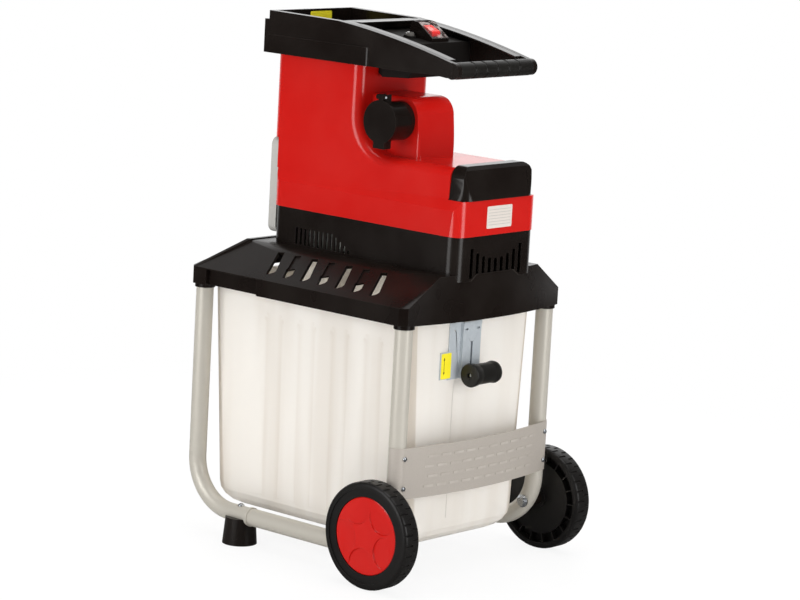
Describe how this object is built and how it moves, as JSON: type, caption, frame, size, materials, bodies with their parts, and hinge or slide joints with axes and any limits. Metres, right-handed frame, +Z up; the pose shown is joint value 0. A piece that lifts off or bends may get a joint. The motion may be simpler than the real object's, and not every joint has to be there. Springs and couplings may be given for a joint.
{
  "type": "garden shredder",
  "caption": "Upright electric roller shredder with hopper and push handle on a wheeled tube frame, with a slide-out collecting box, box lock and geared cutting roller.",
  "frame": {"origin": "on the floor under the middle of the bounding box", "axes": "+X towards the wheels and the handle, +Z up, -Y is the left side for a user at the handle"},
  "size_m": [0.555, 0.483, 0.91],
  "materials": {
    "black_plastic": "fine-grained black moulding",
    "wheel_plastic": "hard black moulded wheel",
    "red_plastic": "satin-gloss red moulding",
    "grey_plastic": "light grey moulding",
    "grip_rubber": "soft black grip",
    "milky_plastic": "milky translucent moulding",
    "painted_tube": "silver-grey powder coat",
    "panel_sheet": "silver-grey powder coat on sheet",
    "zinc_steel": "bright zinc plate",
    "cast_alloy": "as-cast aluminium",
    "machine_steel": "machined steel",
    "pin_brass": "turned brass"
  },
  "bodies": {
    "chassis": {"deck": "black_plastic", "front_leg_left": "painted_tube", "front_leg_right": "painted_tube", "rear_leg_left": "painted_tube", "rear_leg_right": "painted_tube", "foot_left": "black_plastic", "foot_right": "black_plastic", "foot_screws": "zinc_steel", "brace_panel": "panel_sheet", "panel_screws": "zinc_steel", "axle_bolt_left": "zinc_steel", "axle_bolt_right": "zinc_steel", "axle_spacers": "zinc_steel", "axle_nuts": "zinc_steel", "base_housing": "black_plastic", "upper_housing": "red_plastic", "motor_cap": "black_plastic", "front_cover": "grey_plastic", "hopper_top": "black_plastic", "grip_sleeve": "grip_rubber", "control_box": "black_plastic", "switch_frame": "black_plastic", "power_inlet": "black_plastic", "inlet_pins": "pin_brass", "inlet_hinge_pin": "zinc_steel", "feed_chute": "black_plastic", "cutter_housing": "cast_alloy", "gear_case": "cast_alloy", "motor_stator": "machine_steel", "bearings": "machine_steel", "interlock_switch": "black_plastic"},
    "wheel_left": {"wheel_left": "wheel_plastic", "hub_cap_left": "red_plastic"},
    "wheel_right": {"wheel_right": "wheel_plastic", "hub_cap_right": "red_plastic"},
    "catch_box": {"catch_box": "milky_plastic", "lock_bracket": "zinc_steel"},
    "lock_slider": {"lock_slider": "zinc_steel", "lock_grip": "black_plastic"},
    "inlet_cover": {"inlet_cover": "black_plastic"},
    "power_switch": {"power_switch": "red_plastic"},
    "reset_button": {"reset_button": "grey_plastic"},
    "drum": {"cutting_drum": "machine_steel", "drum_shaft": "machine_steel", "drum_gear": "machine_steel"},
    "lay_shaft": {"lay_shaft": "machine_steel", "lay_gear": "machine_steel", "lay_pinion": "machine_steel"},
    "rotor": {"motor_rotor": "machine_steel", "motor_pinion": "machine_steel", "cooling_fan": "black_plastic"},
    "pressure_plate": {"pressure_plate": "machine_steel"},
    "adjusting_screw": {"adjusting_screw": "machine_steel"}
  },
  "joints": [
    {"name": "wheel_left_spin", "type": "hinge", "parent": "chassis", "child": "wheel_left", "pos_m": [0.1875, -0.224, 0.09], "axis": [0, 1, 0], "continuous": true},
    {"name": "wheel_right_spin", "type": "hinge", "parent": "chassis", "child": "wheel_right", "pos_m": [0.1875, 0.224, 0.09], "axis": [0, 1, 0], "continuous": true},
    {"name": "box_slide", "type": "slide", "parent": "chassis", "child": "catch_box", "axis": [-1, 0, 0], "range_m": [0, 0.52]},
    {"name": "lock_slide", "type": "slide", "parent": "catch_box", "child": "lock_slider", "axis": [0, 0, 1], "range_m": [0, 0.048]},
    {"name": "inlet_flap", "type": "hinge", "parent": "chassis", "child": "inlet_cover", "pos_m": [0.054, -0.10525, 0.78904], "axis": [-1, 0, 0], "range_deg": [0, 100], "stiffness_Nm_per_rad": 0.02, "springref_deg": -28.65},
    {"name": "switch_rock", "type": "hinge", "parent": "chassis", "child": "power_switch", "pos_m": [0.04292, 0.019, 0.8887], "axis": [0, 1, 0], "range_deg": [0, 20]},
    {"name": "reset_press", "type": "slide", "parent": "chassis", "child": "reset_button", "axis": [-0.1153, 0, -0.9933], "range_m": [0, 0.003], "stiffness_N_per_m": 400},
    {"name": "rotor_spin", "type": "hinge", "parent": "chassis", "child": "rotor", "pos_m": [0.1, 0, 0.60844], "axis": [1, 0, 0], "continuous": true},
    {"name": "lay_spin", "type": "hinge", "parent": "chassis", "child": "lay_shaft", "pos_m": [0, 0.04, 0.63844], "axis": [1, 0, 0], "continuous": true},
    {"name": "drum_spin", "type": "hinge", "parent": "chassis", "child": "drum", "pos_m": [-0.105, 0, 0.575], "axis": [1, 0, 0], "continuous": true},
    {"name": "plate_feed", "type": "slide", "parent": "chassis", "child": "pressure_plate", "axis": [0, -1, 0], "range_m": [0, 0.003]},
    {"name": "screw_turn", "type": "hinge", "parent": "chassis", "child": "adjusting_screw", "pos_m": [-0.105, 0.08, 0.563], "axis": [0, 1, 0], "range_deg": [0, 720]}
  ],
  "couplings": [
    {"joint": "lay_spin", "follows": "rotor_spin", "ratio": -0.25},
    {"joint": "drum_spin", "follows": "rotor_spin", "ratio": 0.0625},
    {"joint": "screw_turn", "follows": "plate_feed", "rad_per_m": 4188}
  ]
}
